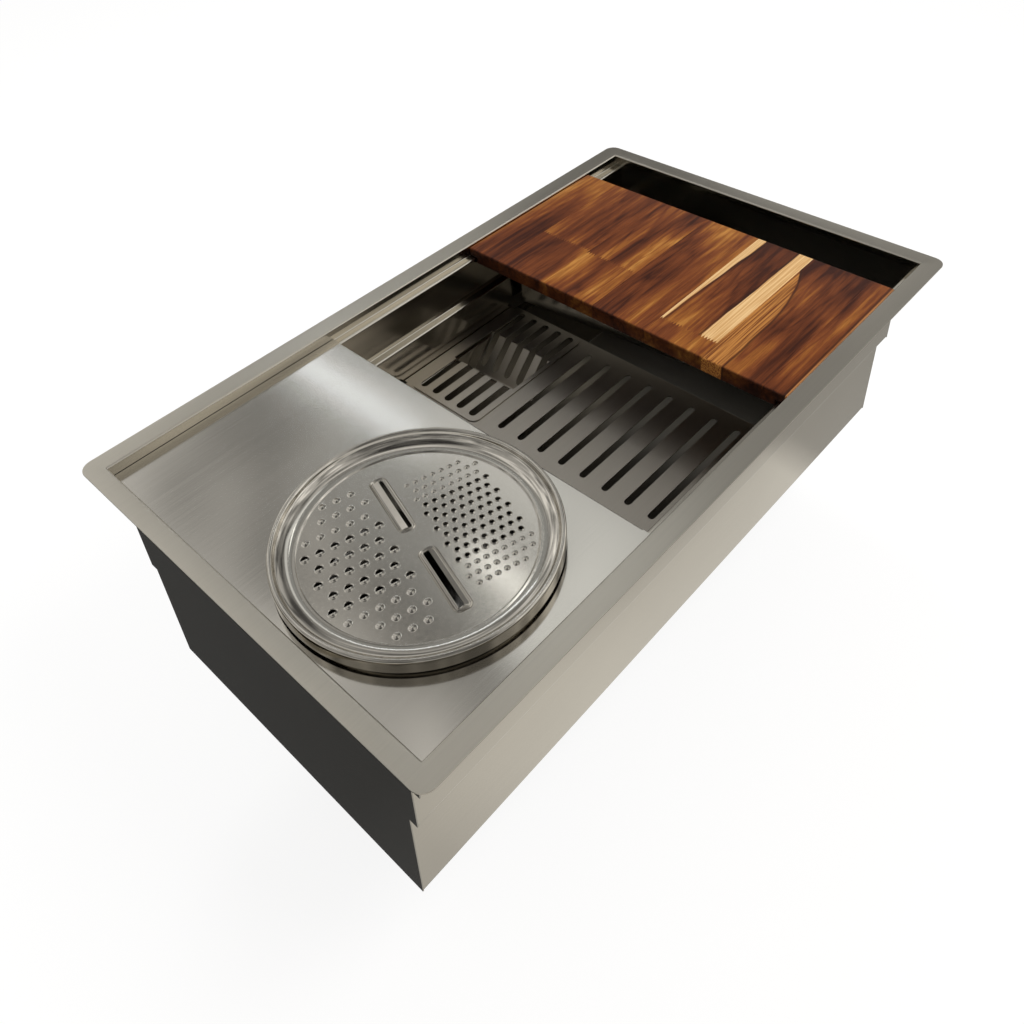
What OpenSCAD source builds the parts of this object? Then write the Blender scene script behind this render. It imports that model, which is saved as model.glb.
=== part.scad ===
// Workstation kitchen sink with stepped ledges, a drain platform with a basin set,
// a slotted rack with its insert, a cutting board, a strainer tray and a basket waste.
// Origin: centre of the bowl in the plane of the rim's top face. +X runs along the
// sink to its right-hand end, +Y to the back, +Z up.

/* [Bowl] */
// Length of the sink over the rim, along X
sink_length = 813; // [740:1:900]
// Width of the sink over the rim, along Y
sink_width = 482.6; // [450:0.1:520]
// Depth from the rim's top face to the underside of the floor
bowl_depth = 242; // [225:1:270]
// Thickness of the bowl's steel sheet
sheet = 1.2; // [1:0.1:1.6]
// Width of the rim along the two long sides
rim_long = 21.7; // [18:0.1:30]
// Width of the rim along the two short ends
rim_end = 19.5; // [16:0.1:30]
// Radius of the rim's outer corners
rim_corner_r = 13; // [6:0.5:18]
// Inside radius of the bends in every folded sheet
bend_r = 1.2; // [0.8:0.1:1.6]

/* [Ledges] */
// Depth of the upper ledge below the rim's top face
ledge_1_drop = 14.4; // [13:0.1:16]
// Depth of the middle ledge below the rim's top face
ledge_2_drop = 61.3; // [56:0.1:66]
// Depth of the lower ledge below the rim's top face
ledge_3_drop = 117.8; // [112:0.1:124]
// Width of the upper ledge
ledge_1_w = 10.5; // [8:0.1:13]
// Width of the middle ledge
ledge_2_w = 9.8; // [8:0.1:13]
// Width of the lower ledge
ledge_3_w = 9.4; // [8:0.1:13]
// Lean of the long walls away from upright
wall_lean = 2.3; // [0:0.1:3]

/* [Waste] */
// Radius of the hole in the floor
waste_hole_r = 45; // [43:0.5:47]
// Depth of the pressed seat round the hole
waste_seat_drop = 3; // [2.5:0.1:4]
// Radius of the waste's top flange
waste_flange_r = 56; // [54:0.5:58]
// Depth of the waste's cup below its flange
waste_cup_h = 48; // [42:1:60]
// Outside radius of the tailpiece
tail_r = 19.05; // [18:0.05:20]
// Length of the tailpiece below the slip nut
tail_h = 90; // [60:1:140]

/* [Platform] */
// Length of the platform along X
platform_length = 269.6; // [262:0.1:285]
// Thickness of its sheet
platform_t = 1.5; // [1.2:0.1:2]
// Depth of its folded ends
platform_fold = 12; // [8:0.5:16]
// Radius of the round opening that the basin hangs in
platform_hole_r = 113; // [111.5:0.5:115]
// Place of the opening's centre from the platform's left edge
hole_x = 134.5; // [130:0.5:140]
// Place of the opening's centre in front of the bowl's centre line
hole_front = 67.8; // [50:0.1:70]

/* [Basin set] */
// Radius of the basin's rolled edge
basin_r = 122; // [118:0.5:124]
// Depth of the basin below the platform
basin_depth = 84; // [60:1:86]
// Thickness of the basin's and colander's sheet
basin_t = 0.8; // [0.6:0.1:1]
// Radius of the grater lid
lid_r = 127.4; // [125:0.1:129]
// Height of the lid's rolled edge above the platform
lid_h = 15.8; // [15:0.1:18]
// Radius of the lid's flat grating face
lid_face_r = 105.5; // [103:0.5:106]
// Radius of a coarse grating hole
coarse_hole_r = 3.6; // [2.5:0.1:4.5]
// Radius of a fine grating hole
fine_hole_r = 2; // [1.5:0.1:2.5]

/* [Rack] */
// Length of the rack along X
rack_length = 197.5; // [190:0.5:198]
// Place of the rack's left edge from the inside of the left end wall
rack_x = 332.5; // [330:0.5:334]
// Height of the rack's top face above the lower ledge
rack_h = 12.8; // [10:0.1:13]
// Thickness of the rack's sheet
rack_t = 1.5; // [1.2:0.1:2]
// Number of long slots in the rack
rack_slots = 8; // [5:1:8]
// Spacing of the long slots
rack_pitch = 29.35; // [27:0.05:30]
// Width of a long slot
rack_slot_w = 8; // [6:0.5:12]
// Length of a long slot
rack_slot_l = 160.5; // [140:0.5:164]

/* [Insert] */
// Width of the insert along Y
insert_w = 106; // [98:0.5:108]
// Thickness of its sheet
insert_t = 1; // [0.8:0.1:1.2]
// Depth of its V-shaped trough
trough_depth = 39; // [25:1:40]
// Width of the trough at its top
trough_w = 70; // [50:1:72]
// Number of slot rows in the insert
insert_slots = 5; // [3:1:5]
// Spacing of the slot rows
insert_pitch = 19.9; // [18.5:0.1:20]
// Width of a slot in the insert
insert_slot_w = 9.6; // [7:0.1:10]

/* [Board] */
// Width of the board along X
board_w = 229; // [215:0.5:232]
// Thickness of the board
board_t = 19; // [17:0.5:22]
// Depth of the board's top face below the rim's top face
board_drop = 3; // [2:0.5:5]
// Gap between the board's right-hand edge and the right end wall
board_gap = 60; // [52:0.5:72]

/* [Tray] */
// Size of the strainer tray along X
tray_w = 62; // [40:1:64]
// Depth of the tray below the middle ledge
tray_depth = 38; // [25:1:40]
// Thickness of its sheet
tray_t = 1; // [0.8:0.1:1.2]
// Angle at which the tray lies askew across the bowl
tray_skew = 5.9; // [0:0.1:6]
// Place of its left face from the inside of the left end wall, at the back
tray_x = 538; // [537:0.5:545]

/* [Fits] */
// Gap between pieces that lift or slide apart
seat_gap = 0.3; // [0.2:0.05:0.4]
// Gap at each end of a piece that slides between the long walls
side_gap = 0.6; // [0.4:0.1:1]
// Gap round a threaded or slipped joint in the waste
thread_gap = 0.15; // [0.1:0.05:0.3]

/* [Hidden] */
$fn = 96;

steel = [0.72, 0.70, 0.66];
bright_steel = [0.80, 0.80, 0.79];
dark_steel = [0.50, 0.48, 0.45];
rubber = [0.10, 0.10, 0.10];
walnut = [0.38, 0.20, 0.11];

half_l = sink_length / 2;
half_w = sink_width / 2;
end_in = half_l - rim_end;
lean = tan(wall_lean);
floor_z = sheet - bowl_depth;

// Inner face of the long walls, as distances in from the rim's outer edge
wall_1_top = rim_long + ledge_1_w;
wall_1_foot = wall_1_top + (ledge_2_drop - ledge_1_drop) * lean;
wall_2_top = wall_1_foot + ledge_2_w;
wall_2_foot = wall_2_top + (ledge_3_drop - ledge_2_drop) * lean;
wall_3_top = wall_2_foot + ledge_3_w;
wall_3_foot = wall_3_top + (bowl_depth - sheet - ledge_3_drop) * lean;

// ---------- shared shapes ----------

function unit(v) = v / norm(v);
function left_of(v) = [-v[1], v[0]];
function turn_of(a, b, c) = (b[0] - a[0]) * (c[1] - b[1]) - (b[1] - a[1]) * (c[0] - b[0]);

// Corner point of the line that runs t to the left of the path at point i
function shifted(p, i, t) =
    let (
        n0 = i == 0 ? left_of(unit(p[1] - p[0])) : left_of(unit(p[i] - p[i - 1])),
        n1 = i == len(p) - 1 ? n0 : left_of(unit(p[i + 1] - p[i]))
    )
    p[i] + (n0 + n1) * t / (1 + n0 * n1);

// Points of an arc of radius r that rounds the corner b between a and c
function corner_arc(a, b, c, r, steps = 4) =
    let (
        u = unit(a - b),
        w = unit(c - b),
        half = acos(max(-1, min(1, u * w))) / 2,
        centre = b + unit(u + w) * r / sin(half),
        p0 = b + u * r / tan(half),
        from = atan2(p0[1] - centre[1], p0[0] - centre[0]),
        sweep = (turn_of(a, b, c) > 0 ? 1 : -1) * (180 - 2 * half)
    )
    [for (k = [0:steps]) centre + r * [cos(from + sweep * k / steps), sin(from + sweep * k / steps)]];

function rounded_path(p, left_r, right_r) = [
    for (i = [0:len(p) - 1])
        for (q = i == 0 || i == len(p) - 1
            ? [p[i]]
            : corner_arc(p[i - 1], p[i], p[i + 1], turn_of(p[i - 1], p[i], p[i + 1]) > 0 ? left_r : right_r))
            q
];

function reversed(p) = [for (i = [len(p) - 1:-1:0]) p[i]];

// Outline of a folded sheet: its right-hand face follows the path, its left-hand face lies t beside it
function folded(p, t, r) =
    let (other = [for (i = [0:len(p) - 1]) shifted(p, i, t)])
    concat(rounded_path(p, r + t, r), reversed(rounded_path(other, r, r + t)));

function mirrored(p) = [for (q = reversed(p)) [-q[0], q[1]]];

module folded_sheet(p, t, r = bend_r) {
    polygon(folded(p, t, r));
}

// Extrudes a YZ outline along X from x0 to x1
module along_x(x0, x1) {
    translate([x0, 0, 0]) rotate([90, 0, 90]) linear_extrude(x1 - x0) children();
}

// Extrudes an XZ outline along Y from y0 to y1
module along_y(y0, y1) {
    translate([0, y1, 0]) rotate([90, 0, 0]) linear_extrude(y1 - y0) children();
}

module rounded_plate(w, l, r) {
    square([w - 2 * r, l], center = true);
    square([w, l - 2 * r], center = true);
    for (sx = [-1, 1])
        for (sy = [-1, 1])
            translate([sx * (w / 2 - r), sy * (l / 2 - r)]) circle(r);
}

// Vertical cutter for a slot with round ends, from x0 to x1
module slot_cut(x0, x1, y, w, z0, z1) {
    translate([0, y, z0]) linear_extrude(z1 - z0) {
        translate([x0 + w / 2, -w / 2]) square([x1 - x0 - w, w]);
        translate([x0 + w / 2, 0]) circle(w / 2);
        translate([x1 - w / 2, 0]) circle(w / 2);
    }
}

module ring(r_out, r_in, z0, h) {
    rotate_extrude() translate([r_in, z0]) square([r_out - r_in, h]);
}

// ---------- bowl ----------

back_wall = [
    [half_w - wall_3_foot, floor_z],
    [half_w - wall_3_top, -ledge_3_drop],
    [half_w - wall_2_foot, -ledge_3_drop],
    [half_w - wall_2_top, -ledge_2_drop],
    [half_w - wall_1_foot, -ledge_2_drop],
    [half_w - wall_1_top, -ledge_1_drop],
    [half_w - rim_long, -ledge_1_drop],
    [half_w - rim_long, 0],
    [half_w, 0]
];
// The sheet's inner face from the front rim, over the floor, to the back rim
bowl_path = concat(mirrored(back_wall), back_wall);

module rim_outline(h) {
    translate([0, 0, -h]) linear_extrude(h) rounded_plate(sink_length, sink_width, rim_corner_r);
}

module waste_seat() {
    rotate_extrude() polygon([
        [waste_hole_r, floor_z - waste_seat_drop - sheet],
        [seat_r, floor_z - waste_seat_drop - sheet],
        [seat_r, floor_z],
        [seat_r - sheet, floor_z],
        [seat_r - sheet, floor_z - waste_seat_drop],
        [waste_hole_r, floor_z - waste_seat_drop]
    ]);
}
seat_r = waste_flange_r + 2 * sheet;

module bowl_shell() {
    color(steel) {
        difference() {
            along_x(-end_in, end_in) polygon(reversed(folded(reversed(bowl_path), sheet, bend_r)));
            translate([0, 0, floor_z - 2 * sheet]) cylinder(h = 4 * sheet, r = seat_r);
        }
        waste_seat();
        intersection() {
            rim_outline(sheet);
            for (s = [-1, 1])
                for (e = [-1, 1])
                    translate([e * (half_l + end_in) / 2, s * (half_w - rim_long / 2), -sheet])
                        translate([-rim_end / 2, -rim_long / 2, 0]) cube([rim_end, rim_long, sheet]);
        }
    }
}

module end_panel() {
    edge = [for (i = [0:len(bowl_path) - 1]) shifted(reversed(bowl_path), i, sheet)];
    inner = [for (i = [1:len(edge) - 2]) edge[i]];
    along_x(end_in, end_in + sheet) polygon(inner);
    translate([end_in, rim_long - half_w, -sheet]) cube([rim_end, sink_width - 2 * rim_long, sheet]);
}

module right_end_panel() {
    color(steel) end_panel();
}

module left_end_panel() {
    color(steel) mirror([1, 0, 0]) end_panel();
}

pad_t = 3;
pad_l = 230;
pad_w = 240;
pad_inset = 75;

module sound_pads() {
    color(rubber)
        for (s = [-1, 1])
            translate([s * (seat_r + pad_inset / 3 + pad_l / 2), 0, -bowl_depth - pad_t])
                linear_extrude(pad_t) rounded_plate(pad_l, pad_w, 20);
}

// ---------- waste ----------

waste_wall = 2;
waste_r = waste_hole_r - 1;
waste_in_r = waste_r - waste_wall;
waste_top = floor_z - waste_seat_drop + waste_wall;
waste_foot = waste_top - waste_cup_h;
spigot_r = tail_r + 4;
spigot_h = 22;
seat_under = floor_z - waste_seat_drop - sheet;
gasket_t = 3;
fibre_t = 1.5;
nut_h = 10;
tail_washer_t = 2;
spigot_foot = waste_foot - spigot_h;
tail_flange_t = 2;
tail_wall = 1.4;
tail_neck = 0.3;
slip_wall = 4;
slip_lip = 3;
slip_grip = 12;

module waste_body() {
    color(bright_steel) rotate_extrude() polygon([
        [waste_flange_r, waste_top - waste_wall],
        [waste_flange_r, waste_top - waste_wall / 2],
        [waste_in_r + waste_wall, waste_top],
        [waste_in_r, waste_top - waste_wall],
        [waste_in_r, waste_foot + waste_wall],
        [tail_r, waste_foot + waste_wall],
        [tail_r, spigot_foot],
        [spigot_r, spigot_foot],
        [spigot_r, waste_foot],
        [waste_r, waste_foot],
        [waste_r, waste_top - waste_wall]
    ]);
}

module waste_gasket() {
    color(rubber) ring(waste_flange_r, waste_r + thread_gap, seat_under - gasket_t, gasket_t);
}

module fibre_washer() {
    color([0.45, 0.12, 0.08]) ring(waste_flange_r, waste_r + thread_gap, seat_under - gasket_t - fibre_t, fibre_t);
}

module lock_nut() {
    lugs = 8;
    z = seat_under - gasket_t - fibre_t - nut_h;
    color(dark_steel) difference() {
        union() {
            translate([0, 0, z]) cylinder(h = nut_h, r = waste_r + 6);
            for (i = [0:lugs - 1])
                rotate([0, 0, i * 360 / lugs])
                    translate([waste_r + 3, -4, z]) cube([8, 8, nut_h]);
        }
        translate([0, 0, z - 1]) cylinder(h = nut_h + 2, r = waste_r + thread_gap);
    }
}

module tail_washer() {
    color([0.85, 0.85, 0.82]) ring(spigot_r, tail_r - tail_wall, spigot_foot - tail_washer_t, tail_washer_t);
}

tail_top = spigot_foot - tail_washer_t;

module tailpiece() {
    color(bright_steel) rotate_extrude() polygon([
        [tail_r - tail_wall, tail_top],
        [spigot_r, tail_top],
        [spigot_r, tail_top - tail_flange_t],
        [tail_r - tail_neck, tail_top - tail_flange_t],
        [tail_r - tail_neck, tail_top - tail_flange_t - slip_lip - tail_flange_t],
        [tail_r, tail_top - tail_flange_t - slip_lip - tail_flange_t],
        [tail_r, tail_top - tail_h],
        [tail_r - tail_wall, tail_top - tail_h]
    ]);
}

module slip_nut() {
    grips = 12;
    foot = tail_top - tail_flange_t - slip_lip;
    top = spigot_foot + slip_grip;
    color(dark_steel) difference() {
        union() {
            translate([0, 0, foot]) cylinder(h = top - foot, r = spigot_r + slip_wall);
            for (i = [0:grips - 1])
                rotate([0, 0, i * 360 / grips])
                    translate([spigot_r + slip_wall - 1, -2, foot]) cube([3, 4, top - foot]);
        }
        translate([0, 0, foot + slip_lip]) cylinder(h = top - foot, r = spigot_r + thread_gap);
        translate([0, 0, foot - 1]) cylinder(h = slip_lip + 2, r = tail_r + thread_gap);
    }
}

// ---------- basket strainer ----------

basket_t = 1;
seal_t = 4;
seal_r = tail_r + 9;
basket_r = waste_in_r - 2;
seat_z = waste_foot + waste_wall + seat_gap;
basket_foot = seat_z + seal_t;
basket_top = waste_top - waste_wall - 1;
post_r = 4;
knob_r = 9;
knob_h = 5;
foot_r = 8;
foot_t = 1.5;

module basket_cup() {
    inner_ring = 8;
    outer_ring = 16;
    drain_r = 3;
    color(bright_steel) difference() {
        rotate_extrude() polygon(folded([
            [0, basket_foot],
            [basket_r - 6, basket_foot],
            [basket_r, basket_top]
        ], basket_t, bend_r));
        translate([0, 0, basket_foot - 1]) cylinder(h = basket_t + 2, r = post_r + thread_gap);
        for (i = [0:inner_ring - 1])
            rotate([0, 0, i * 360 / inner_ring])
                translate([post_r + 9, 0, basket_foot - 1]) cylinder(h = 4, r = drain_r);
        for (i = [0:outer_ring - 1])
            rotate([0, 0, (i + 0.5) * 360 / outer_ring])
                translate([post_r + 21, 0, basket_foot - 1]) cylinder(h = 4, r = drain_r);
    }
}

module basket_post() {
    z = basket_foot + basket_t;
    seal_foot = basket_foot - seal_t;
    color(bright_steel) rotate_extrude() polygon([
        [0, seal_foot - foot_t],
        [foot_r, seal_foot - foot_t],
        [foot_r, seal_foot],
        [post_r, seal_foot],
        [post_r, z],
        [post_r + 2, z],
        [post_r, z + 3],
        [post_r, basket_top],
        [knob_r, basket_top + 2],
        [knob_r, basket_top + knob_h],
        [0, basket_top + knob_h + 1]
    ]);
}

module basket_seal() {
    color(rubber) ring(seal_r, post_r + thread_gap, basket_foot - seal_t, seal_t);
}

// ---------- platform ----------

platform_x0 = seat_gap * 3 - end_in;
platform_x1 = platform_x0 + platform_length;
platform_z = seat_gap + platform_t - ledge_1_drop;
platform_half = half_w - rim_long - side_gap;
fold_half = half_w - wall_1_foot - side_gap;
basin_x = platform_x0 + hole_x;
basin_y = -hole_front;

module platform() {
    end_relief = 3 * platform_t;
    color(steel) difference() {
        union() {
            along_y(-fold_half, fold_half) folded_sheet([
                [platform_x0, platform_z - platform_fold],
                [platform_x0, platform_z],
                [platform_x1, platform_z],
                [platform_x1, platform_z - platform_fold]
            ], -platform_t);
            translate([platform_x0 + end_relief, -platform_half, platform_z - platform_t])
                cube([platform_length - 2 * end_relief, 2 * platform_half, platform_t]);
            for (s = [-1, 1])
                translate([platform_x0, s * (platform_half + fold_half) / 2, platform_z - platform_t])
                    translate([0, (fold_half - platform_half) / 2, 0])
                        cube([platform_length, platform_half - fold_half, platform_t]);
        }
        translate([basin_x, basin_y, platform_z - 2 * platform_t])
            cylinder(h = 3 * platform_t, r = platform_hole_r);
    }
}

// ---------- basin, colander and grater lid ----------

bead = 3.4;
basin_seat = platform_z + seat_gap;
colander_seat = basin_seat + bead + seat_gap;
lid_seat = colander_seat + bead + seat_gap;
bowl_r = platform_hole_r - 2;
colander_r = bowl_r - basin_t - 1.6;
basin_foot = platform_z - basin_depth;
colander_foot = basin_foot + 14;
lid_top = platform_z + lid_h;
lid_t = 0.8;
lid_slope = 4.5;
lid_lap = 0.4;
lid_bead = 3.2;
lid_skirt_gap = 3.2;

// A pan hanging from a flat flange with a turned-up bead
module hung_pan(r, edge_r, seat, foot, t) {
    rotate_extrude() polygon(folded([
        [0, foot],
        [r * 0.62, foot],
        [r * 0.86, foot + (seat - foot) * 0.22],
        [r, seat],
        [edge_r, seat],
        [edge_r, seat + bead]
    ], t, 1));
}

module basin() {
    color(bright_steel) translate([basin_x, basin_y, 0])
        hung_pan(bowl_r, basin_r, basin_seat, basin_foot, basin_t);
}

colander_rings = 5;
colander_hole_r = 2.2;
colander_pitch = 12;

module colander() {
    color(bright_steel) translate([basin_x, basin_y, 0]) difference() {
        hung_pan(colander_r, basin_r, colander_seat, colander_foot, basin_t);
        for (k = [1:colander_rings])
            for (i = [0:6 * k - 1])
                rotate([0, 0, i * 60 / k])
                    translate([k * colander_pitch, 0, colander_foot - 1]) cylinder(h = 4, r = colander_hole_r, $fn = 24);
    }
}

// The grating pattern's own axis, turned from X
grater_turn = 73.2;
coarse_pitch = [16, 6.95];
coarse_start = 22;
coarse_shift = 1.4;
coarse_rows = [-2:2];
fine_pitch = [10.1, 4.38];
fine_start = 18.5;
fine_shift = -18.4;
fine_rows = [-2:5];
slicer_l = 66;
slicer_w = 5.2;
slicer_mid = 49;
slicer_side = 14;
grating_r = lid_face_r - 6;
lid_face_z = platform_z + 4.4;

// Holes in staggered rows: odd steps across use odd rows
module staggered(pitch, start, rows, side, shift, hole_r, faces) {
    for (row = rows)
        for (col = [0:14])
            let (
                x = row * pitch[0] + shift,
                y = side * (start + col * pitch[1])
            )
            if ((row + col) % 2 == 0 && norm([x, y]) < grating_r)
                translate([x, y, lid_face_z - 2]) cylinder(h = 5, r = hole_r, $fn = faces);
}

module grater_lid() {
    color(bright_steel) translate([basin_x, basin_y, 0]) difference() {
        rotate_extrude() polygon(folded([
            [0, lid_face_z],
            [lid_face_r, lid_face_z],
            [lid_face_r + lid_slope, lid_seat],
            [basin_r + lid_lap, lid_seat],
            [lid_r - lid_bead, lid_top],
            [lid_r, lid_top],
            [lid_r, platform_z + lid_skirt_gap]
        ], lid_t, lid_t));
        rotate([0, 0, grater_turn]) {
            staggered(coarse_pitch, coarse_start, coarse_rows, 1, coarse_shift, coarse_hole_r, 32);
            staggered(fine_pitch, fine_start, fine_rows, -1, fine_shift, fine_hole_r, 24);
            for (s = [-1, 1])
                slot_cut(s * slicer_mid - slicer_l / 2, s * slicer_mid + slicer_l / 2, 0, slicer_w, lid_face_z - 2, lid_face_z + 4);
        }
    }
}

// ---------- rack and insert ----------

rack_x0 = rack_x - end_in;
rack_x1 = rack_x0 + rack_length;
rack_z = rack_h - ledge_3_drop;
rack_half = half_w - wall_2_foot - side_gap;
slot_x0 = rack_x0 + (rack_length - rack_slot_l) / 2;
insert_lap = 4;
insert_x0 = rack_x0 + 5;
insert_x1 = rack_x1 - 3;
insert_back = 12;
insert_y0 = rack_half - insert_back - insert_w;
insert_mid = insert_y0 + insert_w / 2;
slot_back = insert_y0 - 25.7;
insert_z = rack_z + seat_gap;
trough_x0 = insert_x0 + 66;

module rack() {
    relief = 4 * rack_t;
    color(dark_steel) difference() {
        union() {
            along_x(rack_x0 + relief, rack_x1 - relief) folded_sheet([
                [-rack_half, seat_gap - ledge_3_drop],
                [-rack_half, rack_z],
                [rack_half, rack_z],
                [rack_half, seat_gap - ledge_3_drop]
            ], -rack_t);
            along_y(relief - rack_half, rack_half - relief) folded_sheet([
                [rack_x0, rack_z - rack_h + 3],
                [rack_x0, rack_z],
                [rack_x1, rack_z],
                [rack_x1, rack_z - rack_h + 3]
            ], -rack_t);
        }
        for (i = [0:rack_slots - 1])
            slot_cut(slot_x0, slot_x0 + rack_slot_l, slot_back - i * rack_pitch, rack_slot_w, rack_z - 3, rack_z + 1);
        translate([(insert_x0 + insert_x1) / 2, insert_mid, rack_z - 3]) linear_extrude(4)
            rounded_plate(insert_x1 - insert_x0 - 2 * insert_lap, insert_w - 2 * insert_lap, 8);
    }
}

module rack_insert() {
    mid = trough_x0 + trough_w * 0.46;
    far = trough_x0 + trough_w;
    well = insert_w - 2 * insert_lap - 2;
    color(dark_steel) difference() {
        union() {
            translate([(insert_x0 + insert_x1) / 2, insert_mid, insert_z]) linear_extrude(insert_t)
                difference() {
                    rounded_plate(insert_x1 - insert_x0, insert_w, 10);
                    translate([trough_x0 + 2 - (insert_x0 + insert_x1) / 2, -well / 2]) square([trough_w - 4, well]);
                }
            along_y(insert_mid - well / 2, insert_mid + well / 2) folded_sheet([
                [trough_x0 - 3, insert_z],
                [trough_x0, insert_z],
                [mid, insert_z - trough_depth],
                [far, insert_z],
                [far + 3, insert_z]
            ], insert_t, 2);
        }
        for (i = [0:insert_slots - 1])
            let (y = insert_mid + (i - (insert_slots - 1) / 2) * insert_pitch) {
                slot_cut(insert_x0 + 7, mid - 7, y, insert_slot_w, insert_z - trough_depth, insert_z + 3);
                slot_cut(mid + 6, insert_x1 - 5, y, insert_slot_w, insert_z - trough_depth, insert_z + 3);
            }
    }
}

// ---------- cutting board ----------

board_x1 = end_in - board_gap;
board_x0 = board_x1 - board_w;
board_half = half_w - rim_long - side_gap;
board_foot_half = half_w - wall_1_foot - side_gap;
board_lip_z = seat_gap - ledge_1_drop;
// Glue lines between the seven staves, front to back: five are of one width, and the outer two make up the length
stave_w = board_half * 0.331;
front_glue = -board_half * 0.877;
stave_y = concat(-board_half, [for (i = [0:5]) front_glue + i * stave_w], board_half);

// The board's end view: its ends are rebated to lie on the upper ledges
module board_section() {
    polygon([
        [-board_half, board_lip_z],
        [-board_foot_half, board_lip_z],
        [-board_foot_half, -board_drop - board_t],
        [board_foot_half, -board_drop - board_t],
        [board_foot_half, board_lip_z],
        [board_half, board_lip_z],
        [board_half, -board_drop],
        [-board_half, -board_drop]
    ]);
}

module stave(i) {
    color(walnut * (0.85 + 0.06 * i)) intersection() {
        along_x(board_x0, board_x1) board_section();
        translate([board_x0, stave_y[i], -board_drop - 2 * board_t])
            cube([board_w, stave_y[i + 1] - stave_y[i], 3 * board_t]);
        translate([(board_x0 + board_x1) / 2, 0, -board_drop - 2 * board_t]) linear_extrude(3 * board_t)
            rounded_plate(board_w, 2 * board_half, 4);
    }
}

module board_stave_1() {
    stave(0);
}

module board_stave_2() {
    stave(1);
}

module board_stave_3() {
    stave(2);
}

module board_stave_4() {
    stave(3);
}

module board_stave_5() {
    stave(4);
}

module board_stave_6() {
    stave(5);
}

module board_stave_7() {
    stave(6);
}

// ---------- strainer tray ----------

tray_z = seat_gap - ledge_2_drop;
tray_slack = 4;
tray_rows = 6;
tray_cols = 8;
tray_hole_r = 2.5;
// Lengths that still fit between the walls when the tray lies askew
tray_l = fitted(half_w - wall_2_foot - side_gap) - tray_slack;
tray_span = fitted(half_w - wall_1_foot - side_gap) - tray_slack / 4;

function fitted(half_room) = (2 * half_room - tray_w * sin(tray_skew)) / cos(tray_skew);

module strainer_tray() {
    corner = [tray_x - end_in, tray_l / 2 * cos(tray_skew) - tray_w / 2 * sin(tray_skew), 0];
    color(steel) translate(corner) rotate([0, 0, tray_skew]) translate([0, -tray_l, 0]) difference() {
        union() {
            translate([0, 0, tray_z - tray_depth]) cube([tray_w, tray_l, tray_depth]);
            translate([0, (tray_l - tray_span) / 2, tray_z]) cube([tray_w, tray_span, tray_t]);
        }
        translate([tray_t, tray_t, tray_z - tray_depth + tray_t])
            cube([tray_w - 2 * tray_t, tray_l - 2 * tray_t, tray_depth + tray_t]);
        for (i = [1:tray_rows])
            for (k = [1:tray_cols])
                translate([tray_w * i / (tray_rows + 1), tray_l * k / (tray_cols + 1), tray_z - tray_depth - 1])
                    cylinder(h = tray_t + 2, r = tray_hole_r, $fn = 24);
    }
}

bowl_shell();
left_end_panel();
right_end_panel();
sound_pads();
waste_body();
waste_gasket();
fibre_washer();
lock_nut();
tail_washer();
slip_nut();
tailpiece();
basket_cup();
basket_post();
basket_seal();
platform();
basin();
colander();
grater_lid();
rack();
rack_insert();
board_stave_1();
board_stave_2();
board_stave_3();
board_stave_4();
board_stave_5();
board_stave_6();
board_stave_7();
strainer_tray();
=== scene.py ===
from functools import partial
import bmesh
import bpy
import numpy as np
from mathutils import Matrix, Vector
from mathutils.geometry import delaunay_2d_cdt


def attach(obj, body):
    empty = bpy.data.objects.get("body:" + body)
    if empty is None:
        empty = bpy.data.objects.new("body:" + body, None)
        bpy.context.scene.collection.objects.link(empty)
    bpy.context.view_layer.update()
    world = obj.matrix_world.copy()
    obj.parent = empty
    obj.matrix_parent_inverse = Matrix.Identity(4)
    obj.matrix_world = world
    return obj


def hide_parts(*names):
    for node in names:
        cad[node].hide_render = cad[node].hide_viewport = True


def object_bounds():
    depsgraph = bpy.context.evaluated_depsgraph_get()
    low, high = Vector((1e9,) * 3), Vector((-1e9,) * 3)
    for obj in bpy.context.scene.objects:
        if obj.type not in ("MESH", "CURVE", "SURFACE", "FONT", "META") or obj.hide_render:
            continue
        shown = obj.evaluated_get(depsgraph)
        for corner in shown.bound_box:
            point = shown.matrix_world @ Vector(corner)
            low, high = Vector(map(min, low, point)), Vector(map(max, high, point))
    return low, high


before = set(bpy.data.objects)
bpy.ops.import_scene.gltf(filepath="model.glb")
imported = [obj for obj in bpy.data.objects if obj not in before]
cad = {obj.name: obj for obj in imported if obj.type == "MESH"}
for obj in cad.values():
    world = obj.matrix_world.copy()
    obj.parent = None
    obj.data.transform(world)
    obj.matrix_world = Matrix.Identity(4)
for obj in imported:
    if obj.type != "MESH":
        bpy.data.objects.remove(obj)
cad_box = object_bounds()
mm = 0.001

# --------------------------------------------------
# The view. The camera stands at the sink's front left, 0.67 m above the rim,
# and looks along the bowl to its far right end, as the photographer did.
right = (0.67937, -0.731033, -0.063608)
down = (-0.446417, -0.342953, -0.826496)
ahead = (0.582382, 0.589893, -0.559338)
place = (-0.59958, -0.56288, 0.66991)
photo_side = 1024
focal_px = 1014.18
centre_px = (513.97, 266.72)

lens = bpy.data.cameras.new("camera")
lens.sensor_width = 36
lens.lens = focal_px / photo_side * 36
lens.shift_x = (photo_side / 2 - centre_px[0]) / photo_side
lens.shift_y = (centre_px[1] - photo_side / 2) / photo_side
camera = bpy.data.objects.new("camera", lens)
camera.matrix_world = Matrix(
    [[right[i], -down[i], -ahead[i], place[i]] for i in range(3)] + [[0, 0, 0, 1]]
)
bpy.context.scene.collection.objects.link(camera)
bpy.context.scene.camera = camera
bpy.context.scene.view_settings.view_transform = "Standard"

# --------------------------------------------------
# The studio: a white sweep of paper under the sink, white all round, a broad
# lamp above the right side and a weaker one over the left.


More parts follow.
